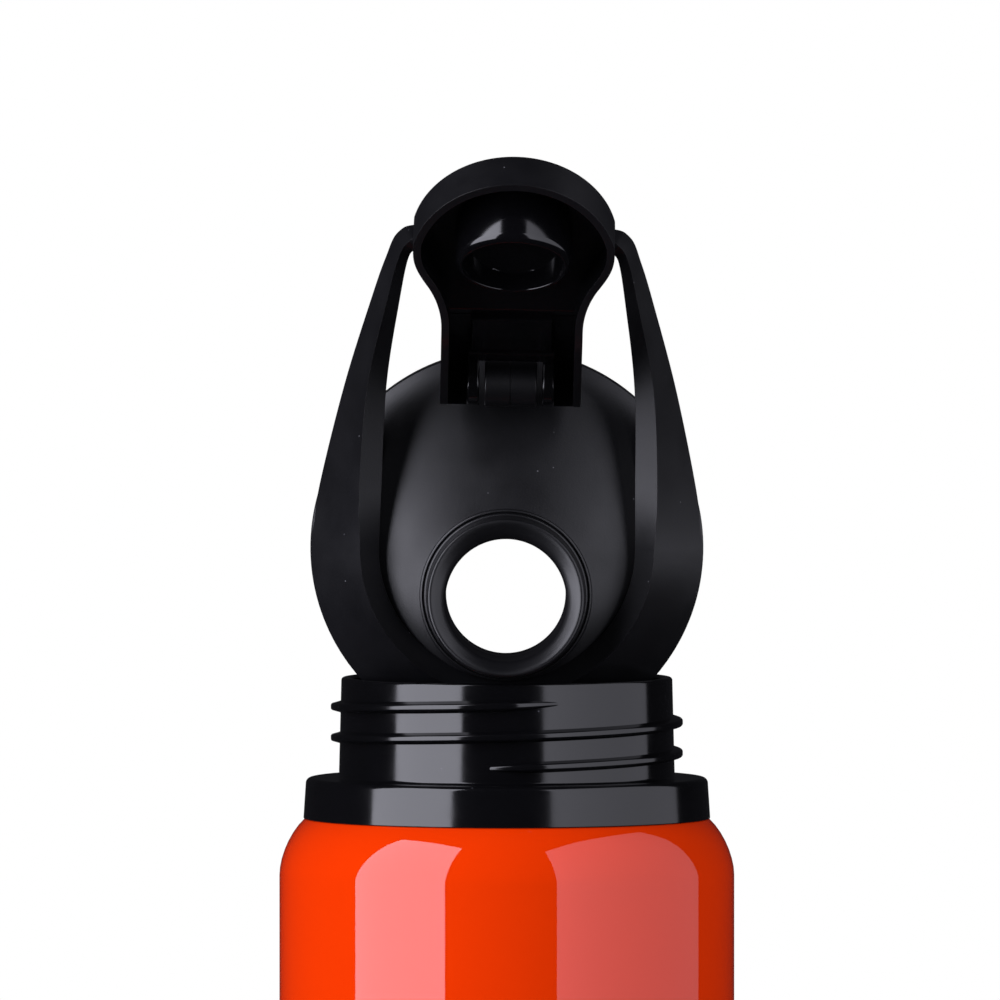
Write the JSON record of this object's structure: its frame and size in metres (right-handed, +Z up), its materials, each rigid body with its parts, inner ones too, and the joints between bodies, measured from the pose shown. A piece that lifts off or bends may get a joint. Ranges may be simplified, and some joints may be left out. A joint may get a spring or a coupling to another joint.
{
  "type": "water bottle",
  "caption": "Drinking bottle with a threaded neck; its screw lid with carrying loop and flip-open spout cap stands on edge in the mouth.",
  "frame": {"origin": "centre of the base, on the surface the bottle stands on", "axes": "+Z up along the bottle's axis; -Y towards the side that the standing lid's top faces; +X to the right of someone who looks at that side"},
  "size_m": [0.073, 0.094, 0.3023],
  "materials": {
    "orange_enamel": "gloss",
    "collar_plastic": "gloss",
    "lid_plastic": "fine matte grain",
    "liner_plastic": "satin",
    "plug_plastic": "gloss",
    "seal_rubber": "matte",
    "pin_steel": "satin"
  },
  "bodies": {
    "bottle": {"bottle_body": "orange_enamel", "neck_collar": "collar_plastic", "collar_seal": "seal_rubber"},
    "lid": {"lid_shell": "lid_plastic", "lid_liner": "liner_plastic", "lid_gasket": "seal_rubber", "carry_handle": "lid_plastic", "hinge_pin": "pin_steel"},
    "cap": {"flip_cap": "lid_plastic", "spout_plug": "plug_plastic"}
  },
  "joints": [
    {"name": "lid_lift", "type": "slide", "parent": "bottle", "child": "lid", "axis": [0, 0, 1], "range_m": [0, 0.08]},
    {"name": "cap_hinge", "type": "hinge", "parent": "lid", "child": "cap", "pos_m": [0.0006, -0.01975, 0.26544], "axis": [0.9997, 0, -0.0227], "range_deg": [0, 119]}
  ]
}
